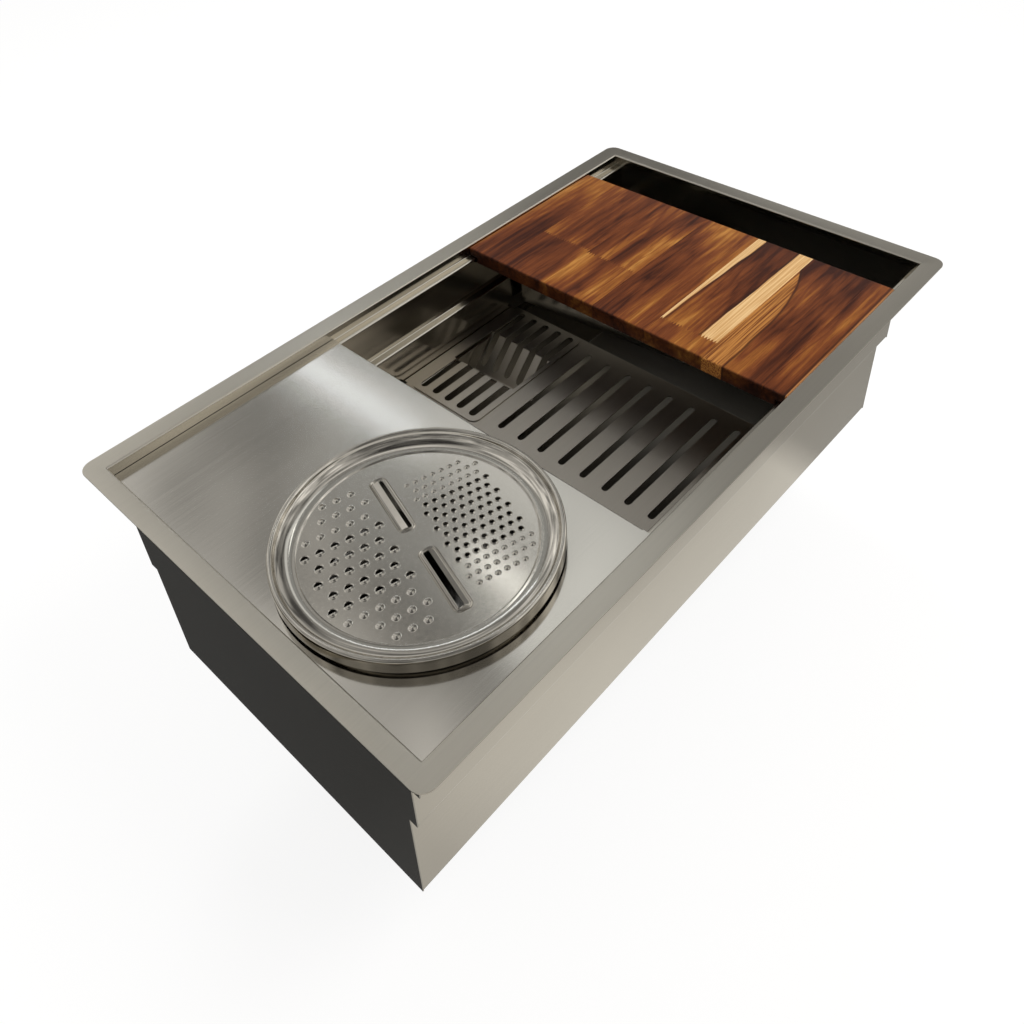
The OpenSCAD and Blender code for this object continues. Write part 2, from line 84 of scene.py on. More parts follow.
def link(tree, *ends):
    """Joins sockets in pairs: out, in, out, in."""
    for out, into in zip(ends[::2], ends[1::2]):
        tree.links.new(out, into)


def seen(tree):
    """1 for camera, glossy and transmission rays, 0 for the rest."""
    path = tree.nodes.new("ShaderNodeLightPath")
    first = tree.nodes.new("ShaderNodeMath")
    first.operation = "MAXIMUM"
    second = tree.nodes.new("ShaderNodeMath")
    second.operation = "MAXIMUM"
    link(tree, path.outputs["Is Camera Ray"], first.inputs[0],
         path.outputs["Is Glossy Ray"], first.inputs[1],
         first.outputs[0], second.inputs[0],
         path.outputs["Is Transmission Ray"], second.inputs[1])
    return second.outputs[0]


world = bpy.data.worlds.new("white_room")
bpy.context.scene.world = world
world.use_nodes = True
tree = world.node_tree
tree.nodes.clear()
white = tree.nodes.new("ShaderNodeBackground")
white.inputs["Color"].default_value = (1, 1, 1, 1)
soft = tree.nodes.new("ShaderNodeBackground")
soft.inputs["Color"].default_value = (1.0, 0.98, 0.95, 1)
soft.inputs["Strength"].default_value = 0.55
mix = tree.nodes.new("ShaderNodeMixShader")
out = tree.nodes.new("ShaderNodeOutputWorld")
link(tree, seen(tree), mix.inputs[0], soft.outputs[0], mix.inputs[1],
     white.outputs[0], mix.inputs[2], mix.outputs[0], out.inputs[0])

floor_z = cad_box[0][2] - 0.001
bpy.ops.mesh.primitive_plane_add(size=30, location=(0, 0, floor_z))
floor = bpy.context.object
floor.name = "paper_floor"
paper = bpy.data.materials.new("paper")
paper.use_nodes = True
tree = paper.node_tree
tree.nodes.clear()
matt = tree.nodes.new("ShaderNodeBsdfDiffuse")
matt.inputs["Color"].default_value = (0.86, 0.86, 0.86, 1)
glow = tree.nodes.new("ShaderNodeEmission")
share = tree.nodes.new("ShaderNodeMath")
share.operation = "MULTIPLY"
share.inputs[1].default_value = 0.75
mix = tree.nodes.new("ShaderNodeMixShader")
out = tree.nodes.new("ShaderNodeOutputMaterial")
glow.inputs["Strength"].default_value = 1.12
link(tree, seen(tree), share.inputs[0], share.outputs[0], mix.inputs[0],
     matt.outputs[0], mix.inputs[1], glow.outputs[0], mix.inputs[2], mix.outputs[0], out.inputs[0])
floor.data.materials.append(paper)


def lamp(name, place, aim, size, power, tint=(1, 1, 1)):
    """A rectangular lamp at place that faces aim."""
    data = bpy.data.lights.new(name, "AREA")
    data.shape = "RECTANGLE"
    data.size, data.size_y = size
    data.energy = power
    data.color = tint
    o = bpy.data.objects.new(name, data)
    o.location = place
    way = np.array(aim, float) - np.array(place, float)
    o.rotation_euler = Vector(way).to_track_quat("-Z", "Y").to_euler()
    o.visible_glossy = False
    bpy.context.scene.collection.objects.link(o)


lamp("key_lamp", (0.5, -1.3, 1.9), (0, 0, 0), (1.2, 0.9), 22, (1, 0.98, 0.95))
lamp("far_lamp", (0.9, 1.9, 2.3), (0.1, 0, 0), (1.0, 1.0), 20, (0.97, 0.98, 1))


def unseen(o):
    """A grey card or tent stands where only glossy surfaces see it, as a studio's flags do."""
    o.visible_camera = o.visible_diffuse = o.visible_shadow = o.visible_transmission = False


def math(tree, operation, a, b=None, clamp=False):
    """A Math node on sockets or numbers. Returns its output."""
    n = tree.nodes.new("ShaderNodeMath")
    n.operation = operation
    n.use_clamp = clamp
    for socket, value in zip(n.inputs, (a, b)):
        if value is None:
            continue
        if isinstance(value, (int, float)):
            socket.default_value = value
        else:
            tree.links.new(value, socket)
    return n.outputs[0]


def ramp(tree, fac, stops):
    """A colour ramp with these (place, colour) stops."""
    n = tree.nodes.new("ShaderNodeValToRGB")
    e = n.color_ramp.elements
    while len(e) < len(stops):
        e.new(0.5)
    for stop, (at, colour) in zip(e, stops):
        stop.position = at
        stop.color = (*colour, 1) if len(colour) == 3 else colour
    tree.links.new(fac, n.inputs[0])
    return n.outputs[0]


def mixed(tree, fac, a, b, blend="MIX"):
    """A colour mix of two sockets or colours."""
    n = tree.nodes.new("ShaderNodeMix")
    n.data_type = "RGBA"
    n.blend_type = blend
    for socket, value in zip((n.inputs[0], n.inputs[6], n.inputs[7]), (fac, a, b)):
        if isinstance(value, (int, float)):
            socket.default_value = value
        elif isinstance(value, tuple):
            socket.default_value = (*value, 1)
        else:
            tree.links.new(value, socket)
    return n.outputs[2]


def glowing(name):
    """A material with one Emission node. Returns it, its tree and the node."""
    m = bpy.data.materials.new(name)
    m.use_nodes = True
    m.node_tree.nodes.clear()
    e = m.node_tree.nodes.new("ShaderNodeEmission")
    u = m.node_tree.nodes.new("ShaderNodeOutputMaterial")
    link(m.node_tree, e.outputs[0], u.inputs[0])
    m.cycles.emission_sampling = "NONE"
    return m, m.node_tree, e


def card(name, xs, ys, z, levels, tint=(1, 1, 1)):
    """A level card whose grey runs evenly between the given values: a row for each x, a column for each y."""
    x, y = np.meshgrid(xs, ys, indexing="ij")
    g = np.arange(x.size).reshape(x.shape)
    data = bpy.data.meshes.new(name)
    data.from_pydata(np.stack([x, y, 0 * x + z], 2).reshape(-1, 3), [], np.stack(
        [g[:-1, :-1], g[1:, :-1], g[1:, 1:], g[:-1, 1:]], 2).reshape(-1, 4).tolist())
    shade = data.attributes.new("level", "FLOAT", "POINT")
    shade.data.foreach_set("value", np.broadcast_to(levels, x.shape).ravel())
    o = bpy.data.objects.new(name, data)
    bpy.context.scene.collection.objects.link(o)
    m, t, e = glowing(name)
    e.inputs["Color"].default_value = (*tint, 1)
    read = t.nodes.new("ShaderNodeAttribute")
    read.attribute_name = "level"
    link(t, read.outputs["Fac"], e.inputs["Strength"])
    data.materials.append(m)
    unseen(o)


# A grey tent over the sink: middle grey behind it, where the flat steel
# looks, darker overhead and at the camera, pale at its foot. Its levels and
# the cards' were set while comparing renders with the photograph.
turn = np.linspace(0, 2 * np.pi, 65)
up = np.linspace(0, np.pi / 2, 17)[:, None]
tent_r = 5.0
grid = np.stack([tent_r * np.cos(up) * np.cos(turn), tent_r * np.cos(up) * np.sin(turn),
                 tent_r * np.sin(up) + floor_z + 0 * turn], 2)
g = np.arange(17 * 65).reshape(17, 65)
data = bpy.data.meshes.new("tent")
data.from_pydata(grid.reshape(-1, 3), [], np.stack(
    [g[:-1, :-1], g[:-1, 1:], g[1:, 1:], g[1:, :-1]], 2).reshape(-1, 4).tolist())
tent = bpy.data.objects.new("tent", data)
bpy.context.scene.collection.objects.link(tent)
m, tree, glow = glowing("tent")
where = tree.nodes.new("ShaderNodeTexCoord")
way = tree.nodes.new("ShaderNodeVectorMath")
way.operation = "NORMALIZE"
axes = tree.nodes.new("ShaderNodeSeparateXYZ")
patchy = tree.nodes.new("ShaderNodeTexNoise")
patchy.inputs["Scale"].default_value = 1.7
patchy.inputs["Detail"].default_value = 1.0
link(tree, where.outputs["Object"], way.inputs[0], way.outputs[0], axes.inputs[0],
     way.outputs[0], patchy.inputs["Vector"])


def greys(*stops):
    """Stops of a ramp in neutral greys, from (place, level) pairs."""
    return [(at, (level,) * 3) for at, level in stops]


half = math(tree, "ADD", math(tree, "MULTIPLY", axes.outputs[0], 0.5), 0.5)
behind = ramp(tree, half, greys((0.0, 0.30), (0.50, 0.66), (0.59, 0.72), (0.64, 0.52), (0.76, 0.37),
                                (0.85, 0.22), (0.92, 0.40)))
before = ramp(tree, half, greys((0.0, 0.22), (0.5, 0.22), (0.68, 0.85), (0.9, 0.95)))
depth = math(tree, "ADD", math(tree, "MULTIPLY", axes.outputs[1], 0.5), 0.5)
side_share = ramp(tree, depth, greys((0.38, 0), (0.58, 1)))
body = mixed(tree, side_share, before, behind)
patches = ramp(tree, patchy.outputs["Fac"], greys((0.38, 0.85), (0.62, 1.12)))
body = mixed(tree, 1.0, body, patches, "MULTIPLY")
near = tree.nodes.new("ShaderNodeVectorMath")
near.operation = "DOT_PRODUCT"
near.inputs[1].default_value = (-0.05, 0.12, 0.99)
link(tree, way.outputs[0], near.inputs[0])
body = mixed(tree, ramp(tree, near.outputs["Value"], greys((0.955, 0), (0.985, 1))), body, (0.12,) * 3)
sharp = tree.nodes.new("ShaderNodeTexNoise")
sharp.inputs["Scale"].default_value = 6.5
sharp.inputs["Detail"].default_value = 1.0
link(tree, way.outputs[0], sharp.inputs["Vector"])
glints = ramp(tree, sharp.outputs["Fac"], greys((0.38, 0.45), (0.47, 1.0), (0.56, 1.1), (0.64, 1.9)))
body = mixed(tree, 1.0, body, glints, "MULTIPLY")
foot = ramp(tree, axes.outputs[2], greys((0.02, 1), (0.22, 0)))
link(tree, mixed(tree, foot, body, (0.85, 0.85, 0.84)), glow.inputs["Color"])
data.materials.append(m)
unseen(tent)

daylight = (0.95, 0.98, 1)
card("strip_card", (1.105, 1.14), (1.75, 2.9), 2.0, 6.0, (0.86, 0.93, 1.05))
card("strip_glow_card", (0.98, 1.09, 1.18, 1.30, 1.5), (1.97, 3.0), 2.04,
     np.array([[0.40], [0.65], [0.80], [0.66], [0.45]]), daylight)
card("near_glow_card", (0.64, 0.68, 0.83, 0.92, 1.02, 1.12, 1.34, 1.5), (0.6, 0.8, 0.94, 1.0, 1.85, 1.97),
     2.04, np.array([
         (0.40,) * 6, (0.50, 1.10, 1.10, 0.40, 0.40, 0.40),
         (0.50, 1.20, 1.20, 0.45, 0.45, 0.40), (0.50, 1.10, 1.10, 0.42, 0.42, 0.40),
         (0.50, 1.25, 1.25, 0.50, 0.42, 0.40), (0.50, 1.10, 1.10, 0.95, 0.85, 0.50),
         (0.50, 0.98, 0.98, 0.98, 1.05, 0.60), (0.40, 0.50, 0.50, 0.50, 0.50, 0.40)]), daylight)
card("near_strip_card", (0.825, 0.89), (0.96, 1.24), 2.0, 3.2, daylight)
low_z = floor_z + 0.002
card("low_card", (-2.6, -0.30), (-0.19, 0.0, 0.6, 2.4), low_z, (0.09, 0.06, 0.07, 0.10))
card("front_card", (-0.9, -0.32, -0.24, -0.1, 0.05, 0.2, 0.36, 0.43, 1.5), (-1.6, -0.40, -0.30, -0.25, -0.19),
     low_z, np.array([
         (0.50, 0.52, 0.56, 0.55, 0.50), (0.50, 0.53, 0.60, 0.60, 0.50), (0.48, 0.52, 0.63, 0.72, 0.62),
         (0.45, 0.48, 0.62, 0.76, 0.74), (0.45, 0.46, 0.50, 0.72, 0.76), (0.45, 0.46, 0.45, 0.70, 0.76),
         (0.46, 0.48, 0.41, 0.74, 0.78), (0.44, 0.47, 0.38, 0.40, 0.40), (0.40, 0.40, 0.30, 0.28, 0.28)]),
     (1, 0.975, 0.92))

# --------------------------------------------------
# The bowl: one folded sheet of 1.2 mm stainless steel for the rim's long
# flanges, the stepped long walls and the floor, with a flat end wall and its
# flange welded on at each end. It is brushed along its length.
end_in = 387.0
rim_long, rim_end = 21.7, 19.5
mouth_corner_r, rim_corner_r = 0.3, 13.0
sheet = 1.2
floor_top = -240.8
mouth_z = -12.0
ledge_z = (-14.4, -61.3, -117.8)
wall_y = (219.6, 209.1, 207.174, 197.374, 195.104, 185.704, 180.763)
seat_half = 76


def bent(corners, t, r, steps=6):
    """Both faces of a bent sheet, from the corner points of one face. The other face lies t to the left
    of it. Each corner becomes an arc: r on the inside of its bend, r + t on the outside."""
    p = np.asarray(corners, float)
    d = np.diff(p, axis=0)
    d /= np.linalg.norm(d, axis=1)[:, None]
    left = np.stack([-d[:, 1], d[:, 0]], 1)
    q = p.copy()
    q[0] += t * left[0]
    q[-1] += t * left[-1]
    a, b = left[:-1], left[1:]
    q[1:-1] += t * (a + b) / (1 + (a * b).sum(1))[:, None]
    cross = d[:-1, 0] * d[1:, 1] - d[:-1, 1] * d[1:, 0]
    side = np.sign(cross)
    angle = np.arctan2(np.abs(cross), (d[:-1] * d[1:]).sum(1))

    def rounded(c, radius):
        """Each corner's arc starts radius * tan(angle / 2) before it, about a centre square to the path."""
        start = c[1:-1] - d[:-1] * (radius * np.tan(angle / 2))[:, None]
        centre = start + left[:-1] * (side * radius)[:, None]
        turn = angle[:, None] * np.linspace(0, 1, steps + 1) * side[:, None]
        out_x = left[:-1, :1] * np.cos(turn) - left[:-1, 1:] * np.sin(turn)
        out_y = left[:-1, :1] * np.sin(turn) + left[:-1, 1:] * np.cos(turn)
        arc = centre[:, None] - np.stack([out_x, out_y], 2) * (side * radius)[:, None, None]
        return np.vstack([c[:1], arc.reshape(-1, 2), c[-1:]])

    return rounded(p, np.where(side > 0, r + t, r)), rounded(q, np.where(side > 0, r, r + t))


def skin(a, b, wrap=False):
    """Closed skin round two matching grids of points (rows, columns, 3), a over b: both faces and their
    borders. With wrap, the last column joins the first."""
    rows, cols = a.shape[:2]
    n = rows * cols
    index = np.arange(n).reshape(rows, cols)
    if wrap:
        index = np.hstack([index, index[:, :1]])

    def quads(g):
        return np.stack([g[:-1, :-1], g[:-1, 1:], g[1:, 1:], g[1:, :-1]], 2).reshape(-1, 4)

    def border(line):
        return np.stack([line[1:], line[:-1], line[:-1] + n, line[1:] + n], 1)

    faces = [quads(index), quads(index)[:, ::-1] + n, border(index[0]), border(index[-1, ::-1])]
    if not wrap:
        faces += [border(index[::-1, 0]), border(index[:, -1])]
    return np.vstack([a.reshape(-1, 3), b.reshape(-1, 3)]), np.vstack(faces)


def piece(name, skins, body, nodes, smooth=32):
    """One object from several closed skins, in millimetres. Doubled points are merged in each, and its
    faces turned outwards."""
    whole = bmesh.new()
    for points, faces in skins:
        data = bpy.data.meshes.new(name)
        data.from_pydata(np.asarray(points) * mm, [], faces if isinstance(faces, list) else faces.tolist())
        part = bmesh.new()
        part.from_mesh(data)
        bmesh.ops.remove_doubles(part, verts=part.verts, dist=2e-6)
        if part.calc_volume(signed=True) < 0:
            bmesh.ops.reverse_faces(part, faces=part.faces)
        part.to_mesh(data)
        part.free()
        whole.from_mesh(data)
        bpy.data.meshes.remove(data)
    data = bpy.data.meshes.new(name)
    whole.to_mesh(data)
    whole.free()
    data.shade_smooth()
    data.set_sharp_from_angle(angle=np.radians(smooth))
    o = bpy.data.objects.new(name, data)
    bpy.context.scene.collection.objects.link(o)
    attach(o, body)
    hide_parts(*nodes)
    return o


def rounded_rectangle(half_x, half_y, r, steps=8):
    """Outlines of rectangles with corner arcs: one row for each half_x, half_y and r."""
    angle = (np.arange(4)[:, None] * 90 + np.linspace(0, 90, steps + 1)).ravel()
    quarter = np.repeat(np.arange(4), steps + 1)
    sx = np.array([1, -1, -1, 1])[quarter]
    sy = np.array([1, 1, -1, -1])[quarter]
    half_x, half_y, r = (np.asarray(v, float)[:, None] for v in (half_x, half_y, r))
    x = sx * (half_x - r) + r * np.cos(np.radians(angle))
    y = sy * (half_y - r) + r * np.sin(np.radians(angle))
    return x, y


def ring_of(profile):
    """The rim's cross-section, (distance outward, height), carried round the mouth. The corner radius grows
    with the distance."""
    d, z = profile.T
    corner_r = mouth_corner_r + np.clip(d, 0, None) * (rim_corner_r - mouth_corner_r) / rim_long
    x, y = rounded_rectangle(end_in + d * rim_end / rim_long, wall_y[0] + d, corner_r)
    return np.stack([x, y, np.broadcast_to(z[:, None], x.shape)], 2)


def along_x(profile, x0, x1, side=1):
    """A (y, z) profile carried along X."""
    y, z = profile.T
    return np.stack([np.stack([0 * y + x, side * y, z], 1) for x in (x0, x1)], 1)


rim_top, rim_under = bent([(rim_long, 0), (0, 0), (0, mouth_z)], sheet, 1.0)
bowl_skins = [skin(ring_of(rim_top), ring_of(rim_under), wrap=True)]
wall_corners = [
    (wall_y[0], mouth_z), (wall_y[0], ledge_z[0]), (wall_y[1], ledge_z[0]), (wall_y[2], ledge_z[1]),
    (wall_y[3], ledge_z[1]), (wall_y[4], ledge_z[2]), (wall_y[5], ledge_z[2]), (wall_y[6], floor_top),
    (seat_half, floor_top)]
wall_in, wall_out = bent(wall_corners, sheet, 1.3)
for side in (1, -1):
    bowl_skins.append(skin(along_x(wall_in, -end_in, end_in, side), along_x(wall_out, -end_in, end_in, side)))


def flat_patch(x, y, z, t):
    """A flat plate over a grid of x and y, its top at z and t thick."""
    a = np.stack([x, y, 0 * x + z], 2)
    return skin(a, a - (0, 0, t))


for side in (1, -1):
    x, y = np.meshgrid(side * np.array([seat_half, end_in]), [-seat_half, seat_half], indexing="ij")
    bowl_skins.append(flat_patch(x, y, floor_top, sheet))

seat_r, hole_r, seat_drop = 58.4, 45.0, 3.0
turn = np.radians(np.arange(0, 360, 3))
to_square = 1 / np.maximum(np.abs(np.cos(turn)), np.abs(np.sin(turn)))
radius = np.array([[seat_r] * len(turn), seat_half * to_square])
square_ring = np.stack([radius * np.cos(turn), radius * np.sin(turn), 0 * radius + floor_top], 2)
bowl_skins.append(skin(square_ring, square_ring - (0, 0, sheet), wrap=True))


def revolved(profile, steps=120, centre=(0, 0)):
    """A (radius, height) profile turned about the upright line through centre."""
    r, z = np.asarray(profile, float).T
    a = np.linspace(0, 2 * np.pi, steps, endpoint=False)
    x = centre[0] + r[:, None] * np.cos(a)
    y = centre[1] + r[:, None] * np.sin(a)
    return np.stack([x, y, np.broadcast_to(z[:, None], x.shape)], 2)


seat_in, seat_out = bent([(hole_r, floor_top - seat_drop), (seat_r - 1.6, floor_top - seat_drop),
                          (seat_r - 0.4, floor_top), (seat_r, floor_top)], -sheet + 0.4, 0.01, 3)
bowl_skins.append(skin(revolved(seat_in), revolved(seat_out), wrap=True))
end_profile = [(wall_y[0] + sheet, mouth_z), (wall_y[0] + sheet, ledge_z[0] - sheet),
               (wall_y[1] + sheet, ledge_z[0] - sheet), (wall_y[2] + sheet, ledge_z[1] - sheet),
               (wall_y[3] + sheet, ledge_z[1] - sheet), (wall_y[4] + sheet, ledge_z[2] - sheet),
               (wall_y[5] + sheet, ledge_z[2] - sheet), (wall_y[6] + sheet, floor_top - sheet)]
end_skins = []
for side in (1, -1):
    for top, foot in zip(end_profile[::2], end_profile[1::2]):
        y, z = np.array([[-top[0], top[0]], [-foot[0], foot[0]]]), np.array([[top[1]] * 2, [foot[1]] * 2])
        face = np.stack([0 * y + side * end_in, y, z], 2)
        end_skins.append(skin(face, face + (side * sheet, 0, 0)))


def group(name, inputs, outputs):
    """An empty shader node group with these sockets: name, kind and default of each."""
    g = bpy.data.node_groups.new(name, "ShaderNodeTree")
    for label, kind, default in inputs:
        s = g.interface.new_socket(name=label, in_out="INPUT", socket_type="NodeSocket" + kind)
        if default is not None:
            s.default_value = default
    for label, kind in outputs:
        g.interface.new_socket(name=label, in_out="OUTPUT", socket_type="NodeSocket" + kind)
    return g, g.nodes.new("NodeGroupInput"), g.nodes.new("NodeGroupOutput")


# Brushed sheet: noise drawn out along the brushing gives fine lines, a broad
# noise gives the cloudy tone of handled steel.
brushed, g_in, g_out = group(
    "brushed_sheet",
    [("Lines", "Vector", None), ("Place", "Vector", None), ("Tone", "Color", (0.5, 0.5, 0.5, 1)),
     ("Sheen", "Float", 0.3)],
    [("Color", "Color"), ("Roughness", "Float"), ("Height", "Float")])
fine = brushed.nodes.new("ShaderNodeTexNoise")
fine.inputs["Scale"].default_value = 1.0
fine.inputs["Detail"].default_value = 3.0
cloud = brushed.nodes.new("ShaderNodeTexNoise")
cloud.inputs["Scale"].default_value = 5.0
cloud.inputs["Detail"].default_value = 2.0
link(brushed, g_in.outputs["Lines"], fine.inputs["Vector"], g_in.outputs["Place"], cloud.inputs["Vector"])
line_tone = ramp(brushed, fine.outputs["Fac"], greys((0.25, 0.96), (0.75, 1.02)))
cloud_tone = ramp(brushed, cloud.outputs["Fac"], greys((0.3, 0.95), (0.7, 1.03)))
tone = mixed(brushed, 1.0, g_in.outputs["Tone"], line_tone, "MULTIPLY")
tone = mixed(brushed, 1.0, tone, cloud_tone, "MULTIPLY")
rough = math(brushed, "ADD", g_in.outputs["Sheen"],
             math(brushed, "ADD", math(brushed, "MULTIPLY", fine.outputs["Fac"], 0.06),
                  math(brushed, "MULTIPLY", cloud.outputs["Fac"], 0.06)))
link(brushed, tone, g_out.inputs["Color"], rough, g_out.inputs["Roughness"],
     fine.outputs["Fac"], g_out.inputs["Height"])


def steel(name, tone, sheen, brush=(6, 900, 900), lines=0.00002, split=None):
    """Brushed stainless steel. brush is the noise's scale along X, Y and Z, small along the brushing. split
    gives another sheen: (centre or None, reach, sheen), beyond that distance from the centre or above that
    height, with a blend of 2 mm."""
    m = bpy.data.materials.new(name)
    m.use_nodes = True
    t = m.node_tree
    shader = t.nodes["Principled BSDF"]
    shader.inputs["Metallic"].default_value = 1.0
    where = t.nodes.new("ShaderNodeTexCoord")
    stretch = t.nodes.new("ShaderNodeMapping")
    stretch.inputs["Scale"].default_value = brush
    g = t.nodes.new("ShaderNodeGroup")
    g.node_tree = brushed
    g.inputs["Tone"].default_value = (*tone, 1)
    g.inputs["Sheen"].default_value = sheen
    if split:
        centre, reach, beyond = split
        moved = t.nodes.new("ShaderNodeVectorMath")
        moved.operation = "SUBTRACT"
        moved.inputs[1].default_value = centre or (0, 0, 0)
        link(t, where.outputs["Object"], moved.inputs[0])
        if centre:
            size = t.nodes.new("ShaderNodeVectorMath")
            size.operation = "LENGTH"
            link(t, moved.outputs[0], size.inputs[0])
            far = size.outputs["Value"]
        else:
            axes = t.nodes.new("ShaderNodeSeparateXYZ")
            link(t, moved.outputs[0], axes.inputs[0])
            far = axes.outputs[2]
        share = math(t, "MULTIPLY", math(t, "SUBTRACT", far, reach), 500.0, True)
        link(t, math(t, "ADD", math(t, "MULTIPLY", share, beyond - sheen), sheen), g.inputs["Sheen"])
    bump = t.nodes.new("ShaderNodeBump")
    bump.inputs["Strength"].default_value = 0.08
    bump.inputs["Distance"].default_value = lines
    link(t, where.outputs["Object"], stretch.inputs["Vector"], stretch.outputs[0], g.inputs["Lines"],
         where.outputs["Object"], g.inputs["Place"], g.outputs["Color"], shader.inputs["Base Color"],
         g.outputs["Roughness"], shader.inputs["Roughness"], g.outputs["Height"], bump.inputs["Height"],
         bump.outputs[0], shader.inputs["Normal"])
    return m


def dress(node, material):
    """Gives a CAD node its material through the object's own slot."""
    o = cad[node]
    if not o.data.materials:
        o.data.materials.append(None)
    for s in o.material_slots:
        s.link = "OBJECT"
        s.material = material


# The rim's top is duller than the walls, so its sheen changes 3 mm below it.
# The floor is one sheet with the walls. Its darker tone is a look, which
# stands in for the deep shade that the photograph shows through the rack.
bowl_steel = steel("bowl_steel", (0.57, 0.53, 0.45), 0.10, split=(None, -0.003, 0.26))
bowl = piece("bowl", bowl_skins, "sink", ["bowl_shell"])
bowl.data.materials.append(bowl_steel)
bowl.data.materials.append(steel("bowl_floor_steel", (0.30, 0.281, 0.25), 0.24))
centre = np.empty(3 * len(bowl.data.polygons))
bowl.data.polygons.foreach_get("center", centre)
bowl.data.polygons.foreach_set("material_index", (centre[2::3] < (floor_top + 0.3) * mm).astype(np.int32))
# The end walls get a darker steel tone than the long walls. That darkening is painted shade, since the end
# walls are the same steel.
end_wall_shaded_steel = steel("end_wall_painted_shade_steel", (0.44, 0.42, 0.37), 0.16, (900, 6, 900))
ends = piece("end_walls", end_skins, "sink", ["left_end_panel", "right_end_panel"])
ends.data.materials.append(end_wall_shaded_steel)

# --------------------------------------------------
# The grater lid: a dished stainless steel plate 0.8 mm thick with a rolled
# edge. Its face has coarse rasp teeth on the left, fine ones on the right and
# two raised slicing slots. It lies loose over the colander.
lid_x, lid_y = -251.6, -67.8
lid_face = -7.4
lid_sheet = 0.8
disc_r = 104.0
pattern_turn = np.radians(73.2)


def offset(profile, t):
    """The curve t to the left of a profile, along the mean normal of the two segments at each point."""
    d = np.gradient(profile, axis=0)
    d /= np.linalg.norm(d, axis=1)[:, None]
    return profile + t * np.stack([-d[:, 1], d[:, 0]], 1)


def lid_profile():
    """Top face from the disc outward: a low step, a cove z = a + b * t ** 2.2, a short Bezier curve up into
    the bead, the bead's arc of radius 2.5 mm and the straight skirt."""
    r = np.concatenate([np.linspace(disc_r, 106.4, 9), np.linspace(107.4, 121, 15)])
    step = np.clip((r - 104.3) / 1.9, 0, 1)
    rise = np.clip((r - 106.4) / 14.6, 0, 1)
    z = lid_face + 1.5 * step * step * (3 - 2 * step) + 4.3 * rise ** 2.2
    t = np.linspace(0, 1, 9)[1:-1, None]
    ends = np.array([(121, -1.6), (122.34, -0.74), (122.73, 1.36), (123.53, 2.75)])
    neck = ((1 - t) ** 3 * ends[0] + 3 * (1 - t) ** 2 * t * ends[1] + 3 * (1 - t) * t ** 2 * ends[2]
            + t ** 3 * ends[3])
    turn = np.radians(np.linspace(150, 0, 16))
    roll = np.stack([125.7 + 2.5 * np.cos(turn), 1.5 + 2.5 * np.sin(turn)], 1)
    skirt = [(128.2, -1.0), (128.2, -5.0), (128.2, -9.1)]
    return np.vstack([np.stack([r, z], 1), neck, roll, skirt])


def strip(rings, wrap=True):
    """Triangles between the rows of a grid of points, counterclockwise when the rows run inward."""
    rows, cols = rings.shape[:2]
    g = np.arange(rows * cols).reshape(rows, cols)
    if wrap:
        g = np.hstack([g, g[:, :1]])
    a, b, c, d = g[:-1, :-1].ravel(), g[:-1, 1:].ravel(), g[1:, 1:].ravel(), g[1:, :-1].ravel()
    return np.vstack([np.stack([a, b, c], 1), np.stack([a, c, d], 1)])


def staggered(pitch, start, rows, side, shift, reach=99.5):
    """Centres of teeth in rows across the pattern's axis, every second step filled, so the rows interlock."""
    row, col = np.meshgrid(rows, np.arange(16), indexing="ij")
    u = row * pitch[0] + shift
    v = side * (start + col * pitch[1])
    keep = ((row + col) % 2 == 0) & (np.hypot(u, v) < reach)
    return np.stack([u[keep], v[keep]], 1)


def rasp_tooth(r, lip, h, segments=20):
    """Rings of a rasp tooth: round outside, half a dome of height h that ends at an open lip across it."""
    a = np.linspace(0, 2 * np.pi, segments, endpoint=False)
    c, s = np.cos(a), np.sin(a)
    back = np.clip(-c, 0, 1)
    edge = np.stack([np.where(c > 0, (lip + 0.3) * c, -0.9 * back ** 2), lip * s,
                     h * back ** 2 - 0.4 * np.clip(c, 0, 1)], 1)
    base = np.stack([r * c, r * s, 0 * c], 1)
    t = np.array([0, 0.2, 0.45, 0.72, 1.0])[:, None, None]
    body = base + (edge - base) * t
    body[..., 2] = edge[:, 2] * (1 - (1 - t[..., 0]) ** 2)
    return np.concatenate([(base * (1 + 0.5 / r))[None], body])


def crater_tooth(r, lip, h, segments=16):
    """Rings of a pierced tooth: the rim is pushed up to h round a hole of radius lip, higher at the back."""
    a = np.linspace(0, 2 * np.pi, segments, endpoint=False)
    c, s = np.cos(a), np.sin(a)
    t = np.array([0, 0.35, 0.75, 1.0])[:, None]
    radius = r + (lip - r) * t
    z = h * t ** 1.4 * (0.8 - 0.35 * c)
    body = np.stack([radius * c, radius * s, z], 2)
    outer = np.stack([(r + 0.4) * c, (r + 0.4) * s, 0 * c], 1)
    return np.concatenate([outer[None], body])


def dimple(r, h, segments=16):
    """Rings of a blind tooth: height h * (1 - (distance / r) ** 2) ** 2."""
    a = np.linspace(0, 2 * np.pi, segments, endpoint=False)
    share = np.array([1 + 0.4 / r, 1, 0.7, 0.4, 0.15, 0.0])[:, None]
    z = h * (1 - np.clip(share, 0, 1) ** 2) ** 2 + 0 * a
    return np.stack([r * share * np.cos(a), r * share * np.sin(a), z], 2)


slicer_r = 5.8


